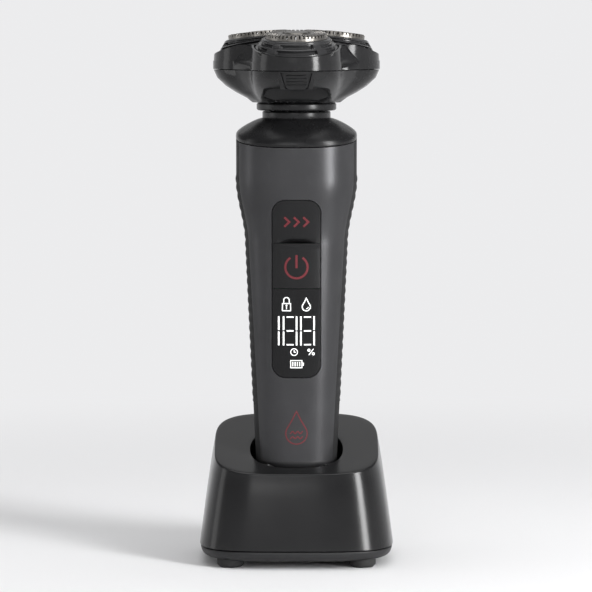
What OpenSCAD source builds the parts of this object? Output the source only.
// Rotary electric shaver standing in its charging stand.
// Z is up, the control panel faces -Y, and the origin is on the table under the middle of the whole set.

/* [Stand] */
// Width of the stand at its seam
stand_w = 74.8; // [70:0.1:84]
// Depth of the stand at its seam
stand_d = 64.5; // [60:0.1:76]
// Width of the stand's top face
stand_top_w = 63.6; // [58:0.1:68]
// Depth of the stand's top face
stand_top_d = 54.5; // [48:0.1:58]
// Height of the top face where the shaver's axis meets it
stand_top_h = 43.3; // [41:0.1:50]
// Backward rise of the top face, as a slope
stand_slope = 0.317; // [0.2:0.01:0.36]
// How far the stand's middle lies behind the shaver's axis
stand_setback = 4.8; // [3:0.1:8]
// Squareness of the stand's plan, as a superellipse power
stand_power = 3.8; // [2.6:0.1:5]
// Wall of the stand's mouldings
stand_wall = 2; // [1.5:0.1:2.6]
// Height of the seam between shell and base plate
seam_h = 7.3; // [6.4:0.1:9]
// Height of the flat underside of the base plate
base_h = 2.6; // [2:0.1:3.2]
// Radius of a rubber foot
foot_r = 5.1; // [4:0.1:6]
// Sideways distance of a foot from the middle
foot_x = 25.3; // [22:0.1:27]
// Distance between the front and the rear feet
foot_pitch_y = 43; // [38:0.5:46]

/* [Well] */
// Width of the well that the shaver stands in
well_w = 35.8; // [35:0.1:38]
// Depth of the well, front to back
well_d = 33.4; // [32:0.1:36]
// Height of the well's floor
well_floor_h = 36; // [34:0.1:37]
// Distance between the two charging pins
pin_pitch = 9; // [7:0.1:11]
// Radius of a charging pin
pin_r = 1.1; // [0.9:0.05:1.4]
// Radius of the power inlet's bore
inlet_r = 2.6; // [2.3:0.05:3]
// Depth of the power inlet's bore
inlet_depth = 9; // [7:0.5:11]
// Height of the power inlet's axis
inlet_h = 14; // [13:0.5:17]

/* [Handle] */
// Length of the handle from its foot to the shoulder seam, at the axis
handle_l = 127.6; // [120:0.1:140]
// Width of the handle's upper part
handle_top_w = 46.5; // [44:0.1:50]
// Width at the lower end of the waist
handle_waist_w = 39.3; // [37:0.1:42]
// Width at the foot
handle_foot_w = 31.1; // [30:0.1:32]
// Depth of the upper part
handle_top_d = 41; // [38:0.1:44]
// Depth at the lower end of the waist
handle_waist_d = 35.4; // [34:0.1:38]
// Depth at the foot
handle_foot_d = 28.4; // [27.6:0.1:29.4]
// How far below the shoulder seam the waist begins
waist_drop = 15.6; // [10:0.1:20]
// Height of the waist's curve
waist_run = 25; // [18:0.1:32]
// Roundness of the handle's section, as a superellipse power
handle_power = 2.4; // [2.1:0.05:2.8]
// Wall of the handle's mouldings
handle_wall = 1.8; // [1.4:0.1:2.2]
// Forward dip of the shoulder seam, as a slope
seam_slope = 0.152; // [0.05:0.01:0.2]
// Radius of the rounded foot edge
foot_edge_r = 4; // [3:0.1:5]
// Section angle at which the front moulding ends
front_edge_a = 21; // [16:0.5:26]
// Section angle at which a side grip ends, towards the back
grip_edge_a = 38; // [30:1:48]
// Height of the shoulder cap above the seam
shoulder_h = 7.5; // [7:0.1:9]

/* [Control panel] */
// Width of the control panel
panel_w = 18.8; // [16:0.1:20]
// Length of the control panel
panel_l = 68.3; // [64:0.1:72]
// Distance from the shoulder seam down to the panel's top
panel_drop = 23; // [21:0.1:28]
// Length of the upper button
turbo_l = 16.6; // [14:0.1:18]
// Length of the power button
power_l = 17.4; // [15:0.1:19]
// Corner radius of the panel
panel_corner_r = 5.2; // [3:0.1:7]
// Gap between the panel's pieces
panel_gap = 0.2; // [0.15:0.01:0.3]
// Travel of each button
button_travel = 0.6; // [0.4:0.05:0.7]

/* [Drive] */
// Radius of the motor
motor_r = 11; // [9:0.1:11.6]
// Length of the motor
motor_l = 25; // [22:0.5:26]
// Radius of the battery cell
cell_r = 9.1; // [7:0.1:9.2]
// Length of the battery cell
cell_l = 65; // [50:0.5:66]
// Teeth of the central pinion, a multiple of three so that it meshes with all three gears
pinion_teeth = 18; // [15:3:18]
// Teeth of each drive gear
gear_teeth = 22; // [20:1:24]
// Thickness of the gears
gear_t = 2.2; // [1.8:0.1:2.4]

/* [Neck] */
// Radius of the neck ring on the handle
neck_r = 13.1; // [12.4:0.1:13.4]
// Height of the neck ring
neck_ring_h = 2.6; // [1:0.1:3]
// Radius of the spigot that carries the head
spigot_r = 10.5; // [9.5:0.1:10.8]
// Height of the spigot above the neck ring
spigot_l = 7; // [6:0.1:7.2]
// Radius of the head's collar
collar_r = 15.3; // [14.8:0.1:16]
// Height of the head's collar
collar_h = 3; // [2.6:0.1:4]

/* [Shaving head] */
// Distance of each shaving unit's centre from the head's axis
pod_c = 17; // [17:0.1:17.6]
// Outward lean of each shaving unit, in degrees
pod_lean = 6; // [4:0.5:8]
// Radius of the skin ring of a shaving unit
pod_r = 15.75; // [15.2:0.05:15.9]
// Radius of a steel cap
cap_r = 11.7; // [11:0.1:12]
// Number of slots in a cap
cap_slots = 45; // [30:1:48]
// Width of a slot
slot_w = 0.6; // [0.4:0.05:0.7]
// Blades of a cutter
blade_count = 12; // [9:1:15]
// Radius of a lobe of the head
lobe_r = 17.5; // [17.3:0.1:18]
// Distance of the flats between the lobes from the head's axis
waist_r = 23.8; // [22.5:0.1:25]
// Height of the bowl
bowl_h = 12.4; // [12:0.1:14]
// Height of the band under the spandrels
band_h = 3.1; // [2.4:0.1:4]
// Wall of the bowl
bowl_wall = 1.3; // [1.1:0.1:1.5]
// Width of the release button at its top
release_w = 11.4; // [9:0.1:12]
// Length of the release button
release_l = 7.4; // [6.4:0.1:7.6]
// Travel of the release button
release_travel = 0.8; // [0.5:0.1:0.9]

/* [Hidden] */
$fn = 48;
clear = 0.3;          // gap between pieces that move past each other
seat = 0.1;           // gap between pieces that are fitted together
run = 0.05;           // radial play of a pin or shaft in its hole
over = 1;             // how far a cutter reaches past the face it cuts
axis_y = (pod_c + lobe_r - stand_setback - stand_d / 2) / 2;
stand_y = axis_y + stand_setback;

// Heights that follow from the driving sizes
foot_z = well_floor_h + 2 * seat;
seam_z = foot_z + handle_l;
shoulder_z = seam_z + shoulder_h;
spigot_z = shoulder_z + neck_ring_h;
collar_z = spigot_z + clear + seat;
bowl_z = collar_z + collar_h;
band_z = bowl_z + bowl_h + clear;
spigot_top_z = spigot_z + spigot_l;

// ---------- shapes that several pieces share ----------
function smooth(u) = let(t = min(1, max(0, u))) t * t * (3 - 2 * t);
function power_curve(v, p) = sign(v) * pow(abs(v), 2 / p);
// Points of a superellipse from angle a0 to a1, in n steps
function oval(w, d, p, n, a0 = 0, a1 = 360) =
  [for (i = [0:(a1 - a0 == 360 ? n - 1 : n)]) let(t = a0 + (a1 - a0) * i / n)
    [w * power_curve(cos(t), p), d * power_curve(sin(t), p)]];
function lift(points, z = 0, slope = 0, y = 0) = [for (q = points) [q[0], q[1] + y,
  z + slope * (q[1] + y)]];
function reversed(list) = [for (i = [len(list) - 1:-1:0]) list[i]];

// Skin through rings of points, closed by its end faces or, as a loop, by its last ring meeting the first
module loft(rings, loop = false) {
  n = len(rings[0]);
  last = len(rings) - 1;
  sides = [for (i = [0:loop ? last : last - 1], k = [0:n - 1])
    let(j = (i + 1) % (last + 1), m = (k + 1) % n)
    each [[i * n + k, j * n + k, j * n + m], [i * n + k, j * n + m, i * n + m]]];
  ends = loop ? [] : [[for (k = [0:n - 1]) k], [for (k = [n - 1:-1:0]) last * n + k]];
  polyhedron([for (r = rings) each r], concat(sides, ends), 4);
}
module on_axis(z = 0) { translate([0, axis_y, z]) children(); }
module ring(outer, inner, h) {
  difference() {
    cylinder(r = outer, h = h);
    translate([0, 0, -over]) cylinder(r = inner, h = h + 2 * over);
  }
}
// Slab with rounded corners in the plane that faces the front
module front_plate(w, z0, z1, y0, y1, r) {
  rr = min(r, w / 2 - 0.01, (z1 - z0) / 2 - 0.01);
  translate([0, y1, 0]) rotate([90, 0, 0]) linear_extrude(y1 - y0) round_rect(w, z0, z1, rr);
}
module round_rect(w, z0, z1, r) {
  polygon([for (q = [[1, 1, 0], [-1, 1, 90], [-1, -1, 180], [1, -1, 270]], i = [0:6])
    [q[0] * (w / 2 - r) + r * cos(q[2] + i * 15), (q[1] > 0 ? z1 - r : z0 + r) + r * sin(q[2] + i * 15)]]);
}

// ---------- the handle's form ----------
waist_hi = seam_z - waist_drop;
waist_lo = waist_hi - waist_run;
function tapered(z, top, waist, foot) = z > waist_lo
  ? waist + (top - waist) * smooth((z - waist_lo) / waist_run)
  : foot + (waist - foot) * (z - foot_z) / (waist_lo - foot_z);
function half_w(z) = tapered(z, handle_top_w, handle_waist_w, handle_foot_w) / 2;
function half_d(z) = tapered(z, handle_top_d, handle_waist_d, handle_foot_d) / 2;
shell_z = foot_z + foot_edge_r;
front_edge_low = front_edge_a + 10;
grip_gap_a = 0.5;     // angle left open between a grip and a shell
// Heights of the handle's rings: few along the straight taper, close together at the waist
handle_levels = concat(
  [for (i = [0:4]) shell_z + (waist_lo - shell_z) * i / 5],
  [for (i = [0:8]) waist_lo + (waist_hi - waist_lo) * i / 8]);
function edge_angle(z) = front_edge_a + (front_edge_low - front_edge_a) * (1 - smooth((z - foot_z)
  / (seam_z - foot_z)));
function wall_section(z, s0, s1, out, wall, n, top = false) =
  let(w = half_w(z) - out, d = half_d(z) - out,
      a = edge_angle(z), a0 = s0[0] + s0[1] * a, a1 = s1[0] + s1[1] * a,
      pts = concat(oval(w, d, handle_power, n, a0, a1), reversed(oval(w - wall, d - wall,
        handle_power, n, a0, a1))))
  top ? lift(pts, seam_z - panel_gap, seam_slope) : lift(pts, z);
// One side of the handle's wall; each end is [fixed angle, share of the front edge's angle]
module wall_patch(s0, s1, out, wall, n) {
  loft(concat([for (z = handle_levels) wall_section(z, s0, s1, out, wall, n)],
    [wall_section(seam_z, s0, s1, out, wall, n, true)]));
}
function front_y(x, z, inset) =
  -(half_d(z) - inset) * pow(1 - pow(abs(x) / (half_w(z) - inset), handle_power), 1 / handle_power);
// Slab that follows the handle's front face, from inset to inset + t below it
module front_slab(w, z0, z1, inset, t, n = 8) {
  m = max(2, ceil((z1 - z0) / 6));
  loft([for (j = [0:m]) let(z = z0 + (z1 - z0) * j / m)
    concat([for (i = [0:n]) let(x = -w / 2 + w * i / n) [x, front_y(x, z, inset), z]],
      [for (i = [n:-1:0]) let(x = -w / 2 + w * i / n) [x, front_y(x, z, inset + t), z]])]);
}

// ---------- stand ----------
function top_z(y) = stand_top_h + stand_slope * (y - axis_y);
// Ring of the stand's side at a share of its height, drawn in by a distance and lowered under the top face
function stand_ring(share, inset, drop = 0, n = 56) =
  let(w = (stand_w + (stand_top_w - stand_w) * share) / 2 - inset,
      d = (stand_d + (stand_top_d - stand_d) * share) / 2 - inset)
  [for (q = oval(w, d, stand_power, n)) let(y = q[1] + stand_y)
    [q[0], y, seam_h + (top_z(y) - drop - seam_h) * share]];
function well_ring(inset, z, slope = 0, n = 56) =
  [for (q = oval(well_w / 2 + inset, well_d / 2 + inset, handle_power, n))
    [q[0], q[1] + axis_y, z + slope * q[1]]];
edge_r = 1.6; // rounding of the stand's top edge
screw_r = 1;
screw_head_r = 2.2;
screw_head_h = 1.2;
screw_grip = 9;       // length of a stand screw
boss_r = 2.8;
// The screws stand just inside the feet, on the diagonals
boss_shift = (foot_r + screw_head_r + 1) / sqrt(2);
boss_spots = [for (x = [-1, 1], y = [-1, 1]) [x * (foot_x - boss_shift),
  stand_y + y * (foot_pitch_y / 2 - boss_shift)]];
plate_t = 2.4; // thickness of the base plate's floor
plate_top = base_h + plate_t;
rear_y = stand_y + stand_d / 2;
inlet_y = rear_y - (stand_d - stand_top_d) / 2 * (inlet_h - seam_h) / (top_z(rear_y) - seam_h);

module stand_shell() {
  color([0.08, 0.08, 0.085]) difference() {
    union() {
      loft([
        well_ring(stand_wall, well_floor_h - stand_wall),
        well_ring(stand_wall, stand_top_h - stand_wall, stand_slope),
        stand_ring(1, stand_wall + edge_r / 2, stand_wall),
        stand_ring(0.9, stand_wall),
        stand_ring(0, stand_wall),
        stand_ring(0, 0),
        stand_ring(0.5, -0.25),
        stand_ring(1 - edge_r / 40, 0),
        stand_ring(1, edge_r * 0.3, edge_r * 0.3),
        stand_ring(1, edge_r),
        well_ring(0.5, stand_top_h, stand_slope),
        well_ring(0, stand_top_h - 0.6, stand_slope),
        well_ring(0, well_floor_h)]);
      for (b = boss_spots) translate([b[0], b[1], plate_top + seat])
        cylinder(r = boss_r, h = top_z(b[1]) - stand_wall / 2 - plate_top - seat);
    }
    for (b = boss_spots) translate([b[0], b[1], 0]) cylinder(r = screw_r, h = base_h + screw_grip + 0.3);
    for (side = [-1, 1]) at_pin(side) translate([0, 0, well_floor_h - stand_wall - over])
      cylinder(r = pin_r + run, h = stand_wall + 2 * over);
    translate([0, inlet_y - stand_wall - over, inlet_h]) rotate([-90, 0, 0])
      cylinder(r = inlet_body_r + seat, h = stand_wall + 4);
    for (x = [-1, 1]) translate([x * well_w / 2, axis_y, well_floor_h + 1]) cylinder(r = 1.3, h = 20);
  }
}

module stand_base_plate() {
  lip = stand_wall + seat;
  lip_h = 2;
  lip_in = lip + 0.25 * lip_h; // the shell's wall leans in above the seam
  color([0.06, 0.06, 0.065]) difference() {
    union() {
      loft([for (r = [[5, base_h], [1.6, base_h + 1], [0.2, seam_h - 1.2], [0.2, seam_h - 0.2],
          [lip, seam_h - 0.2], [lip_in, seam_h + lip_h], [lip_in + 1.2, seam_h + lip_h],
            [lip_in + 1.2, plate_top]])
        [for (q = oval(stand_w / 2 - r[0], stand_d / 2 - r[0], stand_power, 56)) [q[0],
          q[1] + stand_y, r[1]]]]);
      for (x = [-1, 1], y = [-1, 1]) translate([x * 9, board_y + y * 6, plate_top - over])
        cylinder(r = 2, h = board_z - plate_top + over);
    }
    for (b = boss_spots) translate([b[0], b[1], base_h - over]) {
      cylinder(r = screw_r + 0.3, h = 8);
      cylinder(r = screw_head_r + seat, h = over + screw_head_h);
    }
    each_foot() cylinder(r = foot_r + 0.02, h = foot_h + 0.02);
  }
}
foot_h = base_h + 1.2;
module each_foot() {
  for (x = [-1, 1], y = [-1, 1]) translate([x * foot_x, stand_y + y * foot_pitch_y / 2, 0]) children();
}
module stand_feet() {
  color([0.05, 0.05, 0.05]) each_foot() rotate_extrude()
    polygon([[0, 0], [foot_r - 1, 0], [foot_r, 1], [foot_r, foot_h], [0, foot_h]]);
}
module stand_screws() {
  color([0.7, 0.7, 0.72]) for (b = boss_spots) translate([b[0], b[1], base_h]) difference() {
    union() {
      cylinder(r = screw_head_r, h = screw_head_h);
      cylinder(r = screw_r, h = screw_grip);
    }
    translate([0, 0, -over]) cylinder(r = 0.9, h = over + 0.6, $fn = 6);
  }
}
board_z = plate_top + 3;
board_y = stand_y + 6;
stand_board = [26, 18, 1.6];
coil_box = [7, 8, 4];
capacitor_r = 3;
capacitor_h = 7;
module stand_circuit_board() {
  part_z = board_z + stand_board[2];
  color([0.1, 0.35, 0.2]) {
    translate([-stand_board[0] / 2, board_y - stand_board[1] / 2, board_z]) cube(stand_board);
    translate([capacitor_r + over, board_y - 2 * capacitor_r, part_z]) cylinder(r = capacitor_r,
      h = capacitor_h);
    translate([-coil_box[0] - 2 * over, board_y - coil_box[1] / 2 - over, part_z]) cube(coil_box);
  }
}
inlet_body_r = 4.4;
inlet_body_l = inlet_depth + 2.5;
inlet_face_y = inlet_y - 1;
pin_well = 4;         // narrower end of the inlet's bore, where the contact pin stands
module power_inlet() {
  color([0.04, 0.04, 0.04]) translate([0, inlet_face_y, inlet_h]) rotate([90, 0, 0]) difference() {
    cylinder(r = inlet_body_r, h = inlet_body_l);
    translate([0, 0, -over]) cylinder(r = inlet_r, h = inlet_depth - pin_well + over);
    cylinder(r = inlet_r - 0.4, h = inlet_depth);
  }
  color([0.04, 0.04, 0.04]) for (x = [-1, 1])
    translate([x * 3.2 - 0.6, inlet_face_y - inlet_body_l, board_z + 1.6]) cube([1.2, 3,
      inlet_h - board_z - 1.6]);
}
module inlet_pin() {
  color([0.8, 0.78, 0.7]) translate([0, inlet_face_y - inlet_depth, inlet_h]) rotate([-90, 0, 0])
    cylinder(r = 0.65, h = pin_well - 0.3);
}
pin_flange_r = pin_r + 0.7;
pin_flange_t = 1.5;
pin_spring_h = 4;
pin_base_z = well_floor_h - stand_wall - seat - pin_flange_t; // underside of a pin's flange
module at_pin(side) { translate([side * pin_pitch / 2, axis_y, 0]) children(); }
module charging_pin(side) {
  color([0.83, 0.68, 0.36]) at_pin(side) translate([0, 0, pin_base_z]) {
    cylinder(r = pin_r, h = contact_z - seat - pin_base_z);
    cylinder(r = pin_flange_r, h = pin_flange_t);
  }
}
// Block under the well's floor, with a blind hole for each pin and its spring
module pin_holder() {
  wall = 1.2;
  w = pin_pitch + 2 * (pin_flange_r + wall);
  d = 2 * (pin_flange_r + wall);
  h = pin_flange_t + pin_spring_h + wall;
  color([0.8, 0.8, 0.76]) difference() {
    translate([-w / 2, axis_y - d / 2, well_floor_h - stand_wall - h]) cube([w, d, h]);
    for (side = [-1, 1]) at_pin(side) translate([0, 0, pin_base_z - pin_spring_h])
      cylinder(r = pin_flange_r + run, h = h);
  }
}
module pin_spring(side) {
  color([0.75, 0.75, 0.77]) at_pin(side) translate([0, 0, pin_base_z - pin_spring_h])
    ring(pin_flange_r - seat, pin_flange_r - seat - 0.4, pin_spring_h);
}

// ---------- handle ----------
panel_z1 = seam_z - panel_drop;
panel_z0 = panel_z1 - panel_l;
power_z1 = panel_z1 - turbo_l;
power_z0 = power_z1 - power_l;
bezel_rim = 0.7;      // visible width of the bezel around the panel
bezel_t = 1.6;        // depth of the bezel's rim
bezel_inset = 0.15;   // how far the bezel lies below the handle's face
ledge_t = 0.8;        // thickness of the ledge behind the panel's pieces
ledge_w = 1.5;
inlay_w = panel_w - 2 * bezel_rim;
inlay_r = max(0.5, panel_corner_r - bezel_rim);
button_t = bezel_t + 0.05 - button_travel; // stops short of the ledge at full travel
board_t = 1.2;        // thickness of the main circuit board
board_back_y = -8;    // where the main board rests on the chassis
board_front_y = board_back_y - board_t;
switch_h = 2;
plunger_h = 0.5;
chassis_t = 1.1;
disc_t = 1.5;         // thickness of the chassis's cross plates
motor_top_z = seam_z - 2.8;
motor_z = motor_top_z - motor_l;
chassis_z = shell_z + 4;
cell_z = chassis_z + disc_t + 1;
cell_top_z = cell_z + cell_l;
cell_y = board_back_y + chassis_t + 0.4 + cell_r;
main_board_z0 = cell_z + 6;
main_board_z1 = motor_z - 0.3;
contact_t = 0.8;
contact_z = foot_z + 1;
motor_boss_r = 3;
shaft_r = 1.5;
housing_head_r = 1.9;
contact_r = pin_r + 0.9;
head_gap = 0.1;                                          // from a contact to the screw head beside it
screw_x = pin_pitch / 2 + contact_r + head_gap + housing_head_r;

module front_shell() {
  color([0.22, 0.22, 0.225]) on_axis() difference() {
    wall_patch([180, 1], [360, -1], 0, handle_wall, 22);
    front_plate(panel_w + 2 * seat, panel_z0 - seat, panel_z1 + seat, -handle_top_d, 0, panel_corner_r);
  }
}
module rear_shell() {
  color([0.1, 0.1, 0.105]) on_axis() wall_patch([grip_edge_a + grip_gap_a, 0],
    [180 - grip_edge_a - grip_gap_a, 0], 0, handle_wall, 16);
}
module left_grip() {
  color([0.05, 0.05, 0.05]) on_axis() wall_patch([180 - grip_edge_a, 0], [180 - grip_gap_a, 1], 0,
    handle_wall, 6);
}
module right_grip() {
  color([0.05, 0.05, 0.05]) on_axis() wall_patch([grip_gap_a, -1], [grip_edge_a, 0], 0, handle_wall, 6);
}
shoulder_wall = 2;
shoulder_top_r = neck_r + 0.4;
shoulder_curve = 1.7;  // 1 would be a quarter round, 2 a straight cone
// Rings of the shoulder: upright above the seam, then drawn in to the neck
function shoulder_ring(u, inset) =
  let(w = half_w(seam_z), d = half_d(seam_z), c = pow(cos(90 * u), shoulder_curve), z0 = seam_z + 1.7,
      p = handle_power + (2 - handle_power) * u, r = shoulder_top_r)
  lift(oval(r + (w - r) * c - inset, r + (d - r) * c - inset, p, 48),
    z0 + (shoulder_z - z0) * pow(sin(90 * u), shoulder_curve) - inset * sin(90 * u), seam_slope * (1 - u));
module shoulder_cap() {
  w = half_w(seam_z);
  d = half_d(seam_z);
  bottom = function(inset) lift(oval(w - inset, d - inset, handle_power, 48), seam_z, seam_slope);
  color([0.03, 0.03, 0.035]) on_axis() difference() {
    loft(concat([bottom(0)], [for (u = [0, 0.3, 0.55, 0.8, 1]) shoulder_ring(u, 0)],
      [for (u = [1, 0.55, 0]) shoulder_ring(u, shoulder_wall)], [bottom(shoulder_wall)]), loop = true);
    translate([0, 0, shoulder_z - 6]) cylinder(r = spigot_r + seat, h = 6 + over);
  }
}
module foot_cap() {
  lip = handle_wall + seat;
  w = half_w(shell_z);
  d = half_d(shell_z);
  edge = function(i) let(t = 90 * i / 4) [foot_edge_r * (1 - sin(t)), foot_z + foot_edge_r * (1 - cos(t))];
  color([0.1, 0.1, 0.105]) on_axis() difference() {
    loft([for (r = concat([for (i = [0:4]) edge(i)], [[lip, shell_z], [lip, shell_z + 2.5]]))
      lift(oval(w - r[0], d - r[0], handle_power, 48), r[1])]);
    for (x = [-1, 1]) {
      translate([x * pin_pitch / 2, 0, foot_z - over]) cylinder(r = pin_r + 0.6,
        h = over + contact_z - foot_z);
      translate([x * pin_pitch / 2, 0, contact_z]) cylinder(r = pin_r + 1, h = 10);
      translate([x * screw_x, 0, foot_z - over]) cylinder(r = 2, h = over + 1.8);
      translate([x * screw_x, 0, foot_z - over]) cylinder(r = 1.1, h = 20);
    }
  }
}
module charging_contacts() {
  color([0.83, 0.68, 0.36]) on_axis() for (x = [-1, 1]) translate([x * pin_pitch / 2, 0, contact_z]) {
    cylinder(r = contact_r, h = contact_t);
    cylinder(r = 0.6, h = chassis_z - contact_z);
  }
}
module housing_screws() {
  color([0.7, 0.7, 0.72]) on_axis() for (x = [-1, 1]) translate([x * screw_x, 0, foot_z + 0.6])
    difference() {
    union() {
      cylinder(r = housing_head_r, h = screw_head_h);
      cylinder(r = screw_r, h = chassis_z + disc_t - foot_z);
    }
    translate([0, 0, -over]) cylinder(r = 0.8, h = over + 0.6, $fn = 6);
  }
}
module panel_bezel() {
  color([0.04, 0.04, 0.045]) on_axis() difference() {
    intersection() {
      front_slab(panel_w + 2, panel_z0 - over, panel_z1 + over, bezel_inset, bezel_t + ledge_t);
      front_plate(panel_w, panel_z0, panel_z1, -handle_top_d, 0, panel_corner_r);
    }
    intersection() {
      front_slab(panel_w + 2, panel_z0 - over, panel_z1 + over, -over, over + bezel_inset + bezel_t);
      front_plate(inlay_w, panel_z0 + bezel_rim, panel_z1 - bezel_rim, -handle_top_d, 0, inlay_r);
    }
    front_plate(inlay_w - 2 * ledge_w, panel_z0 + bezel_rim + ledge_w, panel_z1 - bezel_rim - ledge_w,
      -handle_top_d, 0, inlay_r);
  }
}
// A piece of the panel between two heights, with the panel's round corners where it reaches them
module inlay(z0, z1, inset, t) {
  intersection() {
    front_slab(inlay_w + 3, z0 - over, z1 + over, inset, t);
    translate([-panel_w, -handle_top_d, z0]) cube([2 * panel_w, handle_top_d, z1 - z0]);
    front_plate(inlay_w - 2 * panel_gap, panel_z0 + bezel_rim + panel_gap, panel_z1 - bezel_rim - panel_gap,
      -handle_top_d, 0, inlay_r);
  }
}
module display_window() {
  color([0.02, 0.02, 0.02]) on_axis() inlay(panel_z0, power_z0 - panel_gap / 2, 0, bezel_t + 0.05);
}
module display_module() {
  w = inlay_w - 3.6;
  z0 = panel_z0 + bezel_rim + 2.2;
  z1 = power_z0 - 2.2;
  y0 = front_y(0, z0, bezel_t + ledge_t + 1.5);
  color([0.75, 0.75, 0.72]) on_axis()
    translate([-w / 2, y0, z0]) cube([w, board_front_y - y0, z1 - z0]);
}
module button_piece(z0, z1) {
  zc = (z0 + z1) / 2;
  y0 = front_y(0, zc, button_t / 2);
  inlay(z0, z1, 0, button_t);
  translate([0, y0, zc]) rotate([-90, 0, 0])
    cylinder(r = 2, h = board_front_y - switch_h - plunger_h - button_travel - 0.05 - y0);
}
module power_button() {
  color([0.06, 0.06, 0.065]) on_axis() difference() {
    button_piece(power_z0 + panel_gap / 2, power_z1 - panel_gap / 2);
    // hollow that leads the thumb down onto the button
    translate([0, front_y(0, power_z1, 0) - dish_r + 0.55, power_z1 - 3.4]) sphere(r = dish_r);
  }
}
dish_r = 26;
module turbo_button() {
  color([0.06, 0.06, 0.065]) on_axis() button_piece(power_z1 + panel_gap / 2, panel_z1);
}
module main_circuit_board() {
  w = 2 * screw_x + 2;
  switch_w = 4.5;
  chip_w = 8;
  color([0.1, 0.35, 0.2]) on_axis() {
    translate([-w / 2, board_front_y, main_board_z0]) cube([w, board_t, main_board_z1 - main_board_z0]);
    for (z = [(power_z0 + power_z1) / 2, (power_z1 + panel_z1) / 2]) {
      translate([-switch_w / 2, board_front_y - switch_h, z - switch_w / 2])
        cube([switch_w, switch_h + 0.2, switch_w]);
      translate([0, board_front_y - switch_h - plunger_h, z]) rotate([-90, 0, 0]) cylinder(r = 1,
        h = plunger_h + 0.2);
    }
    translate([-chip_w / 2, board_front_y - board_t, main_board_z0 + chip_w / 2])
      cube([chip_w, board_t + 0.2, chip_w]);
  }
}
// Cross plate of the chassis that fits the handle's inside at its own height
module cross_plate(z) {
  linear_extrude(disc_t) polygon(oval(half_w(z) - handle_wall - 0.2, half_d(z) - handle_wall - 0.2,
    handle_power, 32));
}
module chassis() {
  post_x = motor_r + 0.6;
  color([0.85, 0.85, 0.82]) on_axis() difference() {
    union() {
      translate([-10, board_back_y, chassis_z]) cube([20, chassis_t, motor_z - chassis_z]);
      for (z = [chassis_z, cell_top_z + 1, motor_z - disc_t]) translate([0, 0, z]) cross_plate(min(z,
        motor_z - disc_t));
      for (x = [-post_x - 2, post_x]) translate([x, -5, motor_z - disc_t]) cube([2, 10,
        motor_l + 2 * disc_t]);
      translate([0, 0, motor_top_z]) cylinder(r = post_x + 3, h = disc_t);
    }
    translate([0, 0, motor_top_z - over]) cylinder(r = motor_boss_r + seat, h = disc_t + 2 * over);
    for (x = [-1, 1]) {
      translate([x * 7, 0, motor_top_z - over]) cylinder(r = 1, h = disc_t + 2 * over);
      translate([x * screw_x, 0, chassis_z - over]) cylinder(r = 1, h = disc_t + 2 * over);
      translate([x * pin_pitch / 2, 0, chassis_z - over]) cylinder(r = 0.7, h = disc_t + 2 * over);
    }
    translate([-main_w / 2, -handle_top_d, main_board_z0 - 0.2])
      cube([main_w, handle_top_d + board_back_y, panel_z1 + over - main_board_z0]);
  }
}
main_w = 2 * screw_x + 2.4;
module battery_cell() {
  color([0.2, 0.35, 0.6]) on_axis() translate([0, cell_y, cell_z]) rotate_extrude()
    polygon([[0, 0], [cell_r - 0.6, 0], [cell_r, 0.6], [cell_r, cell_l - 0.6], [cell_r - 0.6, cell_l],
      [3, cell_l], [3, cell_l + 0.5], [0, cell_l + 0.5]]);
}
module battery_tabs() {
  tab = [0.66 * cell_r, 1.1 * cell_r, 0.3];
  color([0.75, 0.74, 0.68]) on_axis() for (z = [cell_z - tab[2], cell_top_z + 0.5])
    translate([-tab[0] / 2, cell_y - 0.66 * cell_r, z]) cube(tab);
}
can_t = 1.2;          // steel can of the motor
magnet_t = 1.6;       // magnets that line the can
air_gap = 0.4;        // between the magnets and the turning core
core_r = motor_r - can_t - magnet_t - air_gap;
core_l = 0.56 * motor_l;
core_z = motor_z + (motor_l - core_l) / 2 + 1;
module motor() {
  color([0.72, 0.72, 0.74]) on_axis() translate([0, 0, motor_z]) difference() {
    rotate_extrude() polygon([[shaft_r + run, 0], [motor_r - 1, 0], [motor_r, 1], [motor_r, motor_l - 1],
      [motor_r - 1, motor_l], [motor_boss_r, motor_l], [motor_boss_r, motor_l + disc_t],
      [shaft_r + run, motor_l + disc_t]]);
    translate([0, 0, can_t]) cylinder(r = core_r + air_gap, h = motor_l - 2 * can_t);
  }
}
// Iron core with three winding slots, and the commutator below it
module motor_armature() {
  slot_w = 1.6;
  commutator_l = 4;
  color([0.62, 0.36, 0.2]) on_axis() difference() {
    union() {
      translate([0, 0, core_z]) cylinder(r = core_r, h = core_l);
      translate([0, 0, core_z - commutator_l]) cylinder(r = motor_boss_r, h = commutator_l + over);
    }
    translate([0, 0, motor_z]) cylinder(r = shaft_r + seat, h = motor_l);
    for (a = [0, 120, 240]) rotate(a)
      translate([core_r / 2, -slot_w / 2, core_z - over]) cube([core_r, slot_w, core_l + 2 * over]);
  }
}
tip_r = 1.7;          // corner radius of the drive shaft's six-sided end
tip_l = 2.6;
shaft_end_z = spigot_top_z + 0.4;
module drive_shaft() {
  color([0.78, 0.78, 0.8]) on_axis() {
    translate([0, 0, motor_z + 0.5]) cylinder(r = shaft_r, h = shaft_end_z - motor_z - 0.5);
    translate([0, 0, shaft_end_z]) cylinder(r = tip_r, h = tip_l, $fn = 6);
  }
}
seal_r = 3.4;
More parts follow.
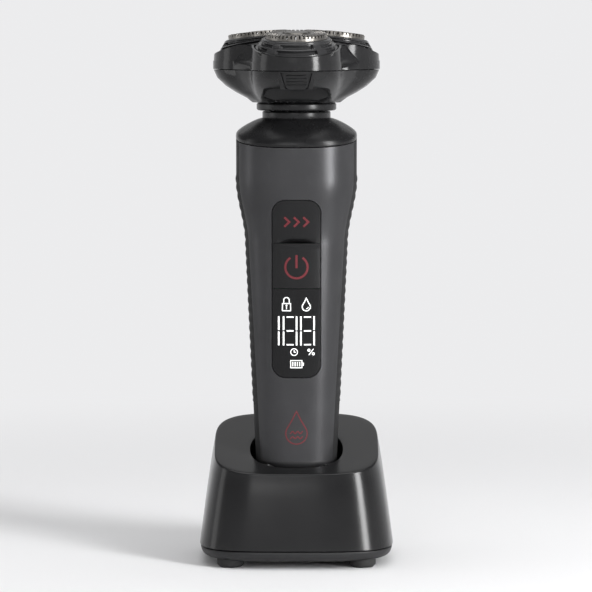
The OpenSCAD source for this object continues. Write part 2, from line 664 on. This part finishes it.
module neck_spigot() {
  wall = 2;
  base = motor_top_z + disc_t;
  color([0.05, 0.05, 0.055]) on_axis() rotate_extrude() polygon([
    [spigot_r - wall, base], [spigot_r, base], [spigot_r, shoulder_z], [neck_r, shoulder_z], [neck_r,
      spigot_z - 0.3],
    [neck_r - 0.3, spigot_z], [spigot_r, spigot_z], [spigot_r, groove_z], [groove_r, groove_z],
    [groove_r, groove_z + 1.4], [spigot_r, groove_z + 1.4], [spigot_r, spigot_top_z - 0.5],
    [spigot_r - 0.5, spigot_top_z], [seal_r, spigot_top_z], [seal_r, spigot_top_z - 1.6],
    [shaft_r + run, spigot_top_z - 1.6], [shaft_r + run, spigot_top_z - 3], [spigot_r - wall,
      spigot_top_z - 3]]);
}
groove_z = spigot_z + 3;
groove_r = spigot_r - 1.3;
module shaft_seal() {
  color([0.1, 0.1, 0.1]) on_axis(spigot_top_z - 1.6) ring(seal_r, shaft_r + run, 1.6);
}
module neck_seal() {
  color([0.1, 0.1, 0.1]) on_axis(groove_z + 0.7) rotate_extrude()
    translate([groove_r + 0.62, 0]) circle(r = 0.6);
}

// ---------- head: base ----------
rim_lean = 14;        // lean of a lobe's rim
skirt_lean = 11.5;    // lean of a skin ring's outer edge
rim_z = band_z + 9.1;
skirt_z = rim_z - 0.85;
cap_z = skirt_z + 5.7;
opening_r = pod_r + 0.4;
pivot_z = skirt_z - 1.6;
pivot_r = 0.8;
pivot_x = pod_r + 0.85;
plate_z = band_z + 2.4; // underside of the retaining plate
plate_th = 1.4;
spindle_z = band_z + 6.2; // top of a drive gear's spindle
gear_r = pod_c - (cap_z - spindle_z) * tan(pod_lean);     // a drive gear stands where its unit's axis passes
gear_module = 2 * gear_r / (pinion_teeth + gear_teeth);
deck_z = bowl_z + 7;                                     // floor that the gears turn above
gear_z = deck_z + 0.4;
cover_z = gear_z + gear_t + 0.4;                         // underside of the gear cover
cover_t = 1;
bowl_top_z = bowl_z + bowl_h;
hub_r = 2.2;
axle_r = 1;
axle_seat = 1.6;      // depth that an axle sits in the floor
boss_post_r = 2.2;    // posts that carry the gear cover
cover_core_r = 15.2;  // middle of the gear cover
cover_lobe_r = 11.2;  // its disc over a drive gear
plate_core_r = 9;     // middle of the retaining plate
plate_lobe_r = 8.6;   // its ring under a shaving unit
plate_hole_r = 6.2;
arm_w = 4;            // width of the retaining plate's arms
foot_t = 1.1;         // thickness of their feet
knob_r = 3.4;
knob_stem_r = 1.5;
knob_drop = 2.6;      // how far the knob reaches below the plate
wing_l = 12;
wing_w = 1.4;
wing_h = 1.8;
lobe_turns = [0, 120, 240];
module each_lobe(turn = 0) { for (a = lobe_turns) rotate(a + turn) children(); }
// Radius of the three-lobed outline in one direction: lobes of radius l around points at c, and flats at w
function lobed(t, c, l, w) = max([for (a = [-90, 30, 150])
  let(s = l * l - pow(c * sin(t - a), 2), flat = -cos(t - a))
  max(s > 0 && cos(t - a) > 0 ? c * cos(t - a) + sqrt(s) : 0, flat > cos(30) ? w / flat : 0)]);
function bowl_swell(h) = 1 - pow(max(0, 1 - h / bowl_h), 1.8);
function bowl_ring(h, inset) = let(g = bowl_swell(h))
  [for (k = [0:71]) let(t = k * 5 - 90, r = lobed(t, pod_c * g, collar_r + (lobe_r - 0.2 - collar_r)
    * g - inset,
    collar_r + (waist_r - 0.2 - collar_r) * g - inset)) [r * cos(t), r * sin(t), bowl_z + h]];
hinge_y = pod_c / 2 + lobe_r + 0.5;
hinge_z = band_z + 0.4;
hinge_pin_r = 0.9;
knuckle_r = 1.9;
knuckle_x = 2.9;      // half width of the cover's middle knuckle
hinge_x = 5.8;        // half width of the whole hinge
button_lean = 31;
release_z = bowl_top_z - 0.4;
release_y = -(pod_c + lobe_r) + 2;
// Places what is drawn in the button's own plane, from its top edge down, at the front of the bowl
module on_button(depth = 0) {
  translate([0, release_y, release_z]) rotate([90 + button_lean, 0, 0]) translate([0, 0, -depth])
    children();
}
module button_face(grow = 0) {
  w0 = release_w / 2 + grow;
  w1 = release_w * 0.36 + grow;
  polygon([[-w0, grow], [-w1, -release_l + 1 - grow], [-w1 + 1.2, -release_l - grow], [w1 - 1.2,
    -release_l - grow],
    [w1, -release_l + 1 - grow], [w0, grow]]);
}
// Three-petalled bowl with a flat rim and, above its deck, the chamber where the gears turn
module bowl() {
  difference() {
    intersection() {
      loft([for (h = concat([0, 0.06, 0.16, 0.3, 0.5, 0.75, 1] * bowl_h, [bowl_h + 2 * over]))
        bowl_ring(h, 0)]);
      translate([-50, -50, bowl_z - over]) cube([100, 100, bowl_h + over]);
    }
    intersection() {
      loft([for (h = [deck_z - bowl_z - over, (deck_z - bowl_z + bowl_h) / 2, bowl_h, bowl_h + 3 * over])
        bowl_ring(h, bowl_wall)]);
      translate([-50, -50, deck_z]) cube([100, 100, bowl_h]);
    }
  }
}
module head_base() {
  frame_w = release_w / 2 + 1.2;
  color([0.06, 0.06, 0.065]) on_axis() difference() {
    union() {
      bowl();
      each_lobe(60) translate([0, -boss_at, deck_z - over]) cylinder(r = boss_post_r,
        h = cover_z - deck_z + over);
      for (x = [-1, 1]) {
        translate([x * (hinge_x + knuckle_x + 0.2) / 2 - 1.35, waist_r - 2.5, bowl_top_z - 2.2])
          cube([2.7, hinge_y - waist_r + 2.5, 2.2]);
        translate([x > 0 ? knuckle_x + 0.2 : -hinge_x, hinge_y, hinge_z]) rotate([0, 90, 0])
          cylinder(r = knuckle_r, h = hinge_x - knuckle_x - 0.2);
      }
      intersection() {
        on_button(pocket_d + spring_d + 0.3) linear_extrude(pocket_d + spring_d + 0.8)
          polygon([[-frame_w, 1.2], [-frame_w + 1, -release_l - 3], [frame_w - 1, -release_l - 3],
            [frame_w, 1.2]]);
        translate([-50, -50, bowl_z]) cube([100, 100, bowl_h]);
      }
    }
    translate([0, 0, bowl_z - over]) cylinder(r = spigot_r + run, h = spigot_top_z + 0.3 - bowl_z + over);
    translate([0, 0, bowl_z]) cylinder(r = pinion_hub_r + run, h = deck_z - bowl_z + over);
    each_lobe() translate([0, -gear_r, deck_z - axle_seat]) cylinder(r = axle_r, h = bowl_h);
    each_lobe(60) translate([0, -boss_at, deck_z - 2]) cylinder(r = cover_screw_r, h = bowl_h);
    on_button(pocket_d) linear_extrude(30) button_face(0.25);
    for (x = [-1, 1]) on_button(pocket_d + spring_d) translate([x * spring_x, spring_y, 0])
      cylinder(r = 1.1, h = 6);
    // hollow behind and below the release button
    translate([0, -collar_r - 1.2, 0]) rotate([90, 0, 0]) linear_extrude(30)
      polygon([[-13.2, bowl_z + 1.3], [-11.2, bowl_z + 5], [-9.6, bowl_z + 5.7], [9.6, bowl_z + 5.7],
        [11.2, bowl_z + 5], [13.2, bowl_z + 1.3]]);
    translate([-hinge_x - 1, hinge_y, hinge_z]) rotate([0, 90, 0]) cylinder(r = hinge_pin_r,
      h = 2 * hinge_x + 2);
  }
}
pocket_d = 1.9;       // depth of the release button's pocket
spring_d = 0.8;       // depth of the spring holes in it
spring_x = 2.4;
spring_y = -release_l + 1.6;
boss_at = 17;         // distance of the gear cover's bosses from the middle
cover_screw_r = 0.9;
pinion_hub_r = 3;
module head_collar() {
  color([0.04, 0.04, 0.045]) on_axis(collar_z) rotate_extrude() polygon([
    [spigot_r + run, 0], [collar_r - 0.5, 0], [collar_r, 0.5], [collar_r, collar_h - 0.6],
    [collar_r - 0.6, collar_h], [spigot_r + run, collar_h]]);
}
module gear_axles() {
  color([0.8, 0.8, 0.82]) on_axis() each_lobe() translate([0, -gear_r, deck_z - axle_seat])
    cylinder(r = axle_r, h = axle_seat + gear_z - deck_z + gear_t + 0.8 * axle_r);
}
// Flat of a gear: straight-flanked teeth between the root and the tip circle
module gear_face(teeth, shift = 0) {
  pitch_r = teeth * gear_module / 2;
  step = 360 / teeth;
  polygon([for (i = [0:teeth - 1], q = [[-0.31, -1.2], [-0.13, 0.95], [0.13, 0.95], [0.31, -1.2]])
    let(a = (i + shift + q[0]) * step, r = pitch_r + q[1] * gear_module - 0.08) [r * cos(a), r * sin(a)]]);
}
module pinion() {
  color([0.9, 0.9, 0.86]) on_axis() difference() {
    union() {
      translate([0, 0, gear_z]) linear_extrude(gear_t) rotate(-90) gear_face(pinion_teeth, 0.5);
      translate([0, 0, spigot_top_z + 0.7]) cylinder(r = pinion_hub_r,
        h = gear_z - spigot_top_z - 0.7 + 0.1);
    }
    translate([0, 0, spigot_top_z]) cylinder(r = tip_r + 0.25, h = 3.5, $fn = 6);
  }
}
spindle_r = 1.45;
hub_top_z = cover_z + cover_t + 0.6;
module drive_gear(turn) {
  color([0.9, 0.9, 0.86]) on_axis() rotate(turn) translate([0, -gear_r, 0]) difference() {
    union() {
      translate([0, 0, gear_z]) linear_extrude(gear_t) rotate(90) gear_face(gear_teeth, 0);
      translate([0, 0, gear_z]) cylinder(r = hub_r, h = hub_top_z - gear_z);
      translate([0, 0, hub_top_z - 0.1]) cylinder(r = spindle_r, h = spindle_z - hub_top_z + 0.1, $fn = 6);
    }
    translate([0, 0, gear_z - over]) cylinder(r = axle_r + run, h = gear_t + 1 + over);
  }
}
module gear_cover() {
  color([0.12, 0.12, 0.125]) on_axis(cover_z) difference() {
    union() {
      each_lobe() translate([0, -gear_r, 0]) cylinder(r = cover_lobe_r, h = cover_t);
      each_lobe(60) translate([0, -boss_at, 0]) cylinder(r = boss_post_r + seat, h = cover_t);
      cylinder(r = cover_core_r, h = cover_t);
    }
    each_lobe() translate([0, -gear_r, -over]) cylinder(r = hub_r + run, h = cover_t + 2 * over);
    each_lobe(60) translate([0, -boss_at, -over]) cylinder(r = cover_screw_r + seat,
      h = cover_t + 2 * over);
  }
}
module gear_cover_screws() {
  grip = cover_z + cover_t - deck_z + 1;
  color([0.7, 0.7, 0.72]) on_axis() each_lobe(60) translate([0, -boss_at, deck_z - 1]) difference() {
    union() {
      cylinder(r = cover_screw_r, h = grip);
      translate([0, 0, grip]) cylinder(r = cover_screw_r + 0.9, h = 0.4);
    }
    translate([0, 0, grip + 0.1]) cylinder(r = 0.7, h = over, $fn = 6);
  }
}
module release_button() {
  color([0.08, 0.08, 0.085]) on_axis() {
    on_button(pocket_d - release_travel - 0.2) linear_extrude(pocket_d - release_travel + 0.1)
      button_face();
    for (i = [1:4]) on_button() translate([-release_w * 0.34, -i * release_l / 5.4 - 0.2, 0])
      cube([release_w * 0.68, 0.5, 0.7]);
  }
}
module release_spring() {
  color([0.75, 0.75, 0.77]) on_axis() on_button(pocket_d + spring_d) for (x = [-1, 1])
    translate([x * spring_x, spring_y, 0]) rotate_extrude() translate([0.6, 0]) square([0.3,
      spring_d + release_travel + 0.15]);
}
module hinge_pin() {
  color([0.8, 0.8, 0.82]) on_axis() translate([-hinge_x, hinge_y, hinge_z]) rotate([0, 90, 0])
    cylinder(r = hinge_pin_r, h = 2 * hinge_x);
}

// ---------- head: cover and shaving units ----------
// A shaving unit's own frame, tipped outwards at the given height
module in_unit(turn, z, lean) {
  on_axis() rotate(turn) translate([0, -pod_c, z]) rotate([lean, 0, 0]) children();
}
// Wall of one lobe: a slightly tapered round that stays in its own third of the head, cut by the leaning rim
module cover_lobe() {
  intersection() {
    translate([0, -pod_c, band_z + 1]) cylinder(r1 = lobe_r - 0.15, r2 = lobe_r - 0.9, h = 15);
    translate([0, -pod_c, rim_z]) rotate([rim_lean, 0, 0]) translate([-30, -30, -40]) cube([60, 60, 40]);
    translate([0, 0, band_z]) linear_extrude(rim_z + 0.3 - band_z)
      polygon([[0, -2], [60 * sin(58), -2 - 60 * cos(58)], [0, -90], [-60 * sin(58), -2 - 60 * cos(58)]]);
  }
}
// Body between two lobes, with a flat that slopes in above the band
module cover_web() {
  rotate([90, 0, -90]) translate([0, 0, -8]) linear_extrude(16) polygon([[12, band_z], [waist_r, band_z],
    [waist_r, band_z + band_h], [waist_r - 3.4, rim_z], [12, rim_z]]);
}
module head_cover() {
  color([0.06, 0.06, 0.065]) on_axis() difference() {
    union() {
      each_lobe() translate([0, -pod_c, band_z]) cylinder(r = lobe_r, h = band_h);
      each_lobe() cover_lobe();
      each_lobe(60) cover_web();
      translate([-knuckle_x, hinge_y, hinge_z]) rotate([0, 90, 0]) cylinder(r = knuckle_r,
        h = 2 * knuckle_x);
      translate([-knuckle_x, waist_r - 3, band_z]) cube([2 * knuckle_x, hinge_y - waist_r + 3, 2.2]);
    }
    each_lobe() translate([0, -pod_c, band_z - over]) cylinder(r = opening_r, h = 30);
    translate([0, 0, band_z - over]) cylinder(r = 4, h = 30);
    each_lobe() for (x = [-1, 1]) translate([x * (pivot_x + 0.1 - 2.5), -pod_c, 0]) {
      translate([0, 0, pivot_z]) rotate([0, 90, 0]) cylinder(r = pivot_r + run, h = 5, center = true);
      translate([-2.5, -pivot_r - run, band_z - over]) cube([5, 2 * (pivot_r + run),
        pivot_z - band_z + over]);
    }
    translate([-hinge_x, hinge_y, hinge_z]) rotate([0, 90, 0]) cylinder(r = hinge_pin_r + run,
      h = 2 * hinge_x);
    each_lobe(60) translate([0, -boss_at, band_z - over]) cylinder(r = boss_post_r, h = over + 0.8);
  }
}
module retaining_plate() {
  arm_end = cusp_r - 0.3;
  color([0.5, 0.5, 0.52]) on_axis() difference() {
    union() {
      translate([0, 0, plate_z]) cylinder(r = plate_core_r, h = plate_th);
      each_lobe() translate([0, -gear_r, plate_z]) cylinder(r = plate_lobe_r, h = plate_th);
      each_lobe(60) {
        translate([-arm_w / 2, -arm_end, plate_z]) cube([arm_w, arm_end, plate_th]);
        translate([-arm_w / 2, -arm_end, band_z - foot_t]) cube([arm_w, arm_w / 2,
          plate_z - band_z + foot_t + seat]);
        translate([-arm_w / 2, -cusp_r - 0.9 * arm_w, band_z - foot_t]) cube([arm_w, 1.4 * arm_w, foot_t]);
      }
    }
    each_lobe() translate([0, -gear_r, plate_z - over]) cylinder(r = plate_hole_r, h = plate_th + 2 * over);
    translate([0, 0, plate_z - over]) cylinder(r = knob_stem_r + run, h = plate_th + 2 * over);
  }
}
// Where two neighbouring openings meet, measured from the middle of the head
cusp_r = pod_c / 2 + sqrt(pow(opening_r, 2) - pow(pod_c * sin(60), 2));
module retaining_knob() {
  color([0.55, 0.1, 0.1]) on_axis() {
    translate([0, 0, plate_z - knob_drop]) cylinder(r = knob_r, h = knob_drop - seat);
    translate([-wing_w / 2, -wing_l / 2, plate_z - knob_drop]) cube([wing_w, wing_l, wing_h]);
    translate([0, 0, plate_z - 0.5]) cylinder(r = knob_stem_r, h = plate_th + 1);
  }
}
skirt_h = 3.9;        // rise of a skin ring from its edge to the cap
skirt_in = cap_r + 0.35;
module skin_ring(turn) {
  step_r = (pod_r - skirt_in) / 3;
  color([0.09, 0.09, 0.095]) difference() {
    intersection() {
      union() {
        in_unit(turn, skirt_z, skirt_lean) rotate_extrude() polygon(concat(
          [[cap_r - 1, -2.8], [pod_r - 0.15, -2.8], [pod_r, -2.6], [pod_r, 0]],
          [for (i = [0:2], q = [[-0.25, 0.3], [-0.25, 0.75], [-0.75, 0.75], [-0.75, 1.05]])
            [pod_r + q[0] * step_r - i * step_r, (i + q[1]) * skirt_h / 3.3]],
          [[skirt_in, skirt_h], [cap_r - 1, skirt_h]]));
        on_axis() rotate(turn) translate([0, -pod_c, pivot_z]) rotate([0, 90, 0])
          cylinder(r = pivot_r, h = 2 * pivot_x, center = true);
      }
      on_axis(band_z - 5) rotate(turn) linear_extrude(30) polygon([[0, -0.45],
        [40 * sin(60), -0.45 - 40 * cos(60)], [0, -60], [-40 * sin(60), -0.45 - 40 * cos(60)]]);
    }
    in_unit(turn, cap_z, pod_lean) {
      translate([0, 0, -20]) cylinder(r = cap_r + seat, h = 30);
      translate([0, 0, -20]) cylinder(r = cap_r + 0.8 + seat, h = 20 - 2.9);
    }
  }
}
cap_t = 0.35;         // sheet of a steel cap
cap_h = 3.6;
boss_top = 4.4;
module cap(turn) {
  color([0.7, 0.68, 0.65]) in_unit(turn, cap_z, pod_lean) difference() {
    rotate_extrude() polygon([
      [0, 0.45], [boss_top - 0.5, 0.45], [boss_top, 0.1], [boss_top + 0.4, -0.5], [boss_top + 1, -0.5],
      [boss_top + 1.4, 0], [cap_r - 0.3, 0], [cap_r, -0.3], [cap_r, -3], [cap_r + 0.7, -3],
        [cap_r + 0.7, -cap_h],
      [cap_r - cap_t, -cap_h], [cap_r - cap_t, -cap_t], [boss_top + 1.5, -cap_t],
      [boss_top + 1, -0.9], [boss_top, -0.9], [boss_top - 0.6, 0], [0, 0]]);
    for (i = [0:cap_slots - 1]) rotate((i + 0.5) * 360 / cap_slots)
      translate([cap_r * 0.62, -slot_w / 2, -1.1]) cube([cap_r * 0.38 + over, slot_w, 1.1 + over]);
  }
}
blade_r = cap_r - cap_t - 0.45;
module cutter(turn) {
  hub_l = 5.9;
  color([0.75, 0.75, 0.77]) in_unit(turn, cap_z, pod_lean) difference() {
    union() {
      translate([0, 0, -4]) ring(blade_r, 5.5, 0.8);
      for (i = [0:blade_count - 1]) rotate(i * 360 / blade_count)
        translate([blade_r - 4, -0.35, -3.3]) cube([3.9, 0.7, 3.3 - cap_t - 0.1]);
      for (i = [0:2]) rotate(i * 120) translate([0, -1.2, -3.9]) cube([6, 2.4, 0.6]);
      translate([0, 0, -3.2 - hub_l]) cylinder(r = 3.2, h = hub_l + 0.3);
    }
    translate([0, 0, -3.2 - hub_l - over]) cylinder(r = spindle_r + 0.75, h = 3.4 + over, $fn = 6);
  }
}

stand_shell();
stand_base_plate();
stand_feet();
stand_screws();
stand_circuit_board();
power_inlet();
inlet_pin();
pin_holder();
pin_spring(-1);  // pin_spring_left
pin_spring(1);  // pin_spring_right
charging_pin(-1);  // charging_pin_left
charging_pin(1);  // charging_pin_right
front_shell();
rear_shell();
left_grip();
right_grip();
shoulder_cap();
foot_cap();
charging_contacts();
panel_bezel();
display_window();
display_module();
power_button();
turbo_button();
main_circuit_board();
chassis();
battery_cell();
battery_tabs();
motor();
motor_armature();
drive_shaft();
housing_screws();
neck_spigot();
shaft_seal();
neck_seal();
head_base();
head_collar();
gear_axles();
pinion();
drive_gear(0);  // drive_gear_front
drive_gear(120);  // drive_gear_right
drive_gear(240);  // drive_gear_left
gear_cover();
gear_cover_screws();
release_button();
release_spring();
hinge_pin();
head_cover();
retaining_plate();
retaining_knob();
skin_ring(0);  // skin_ring_front
skin_ring(120);  // skin_ring_right
skin_ring(240);  // skin_ring_left
cap(0);  // cap_front
cap(120);  // cap_right
cap(240);  // cap_left
cutter(0);  // cutter_front
cutter(120);  // cutter_right
cutter(240);  // cutter_left
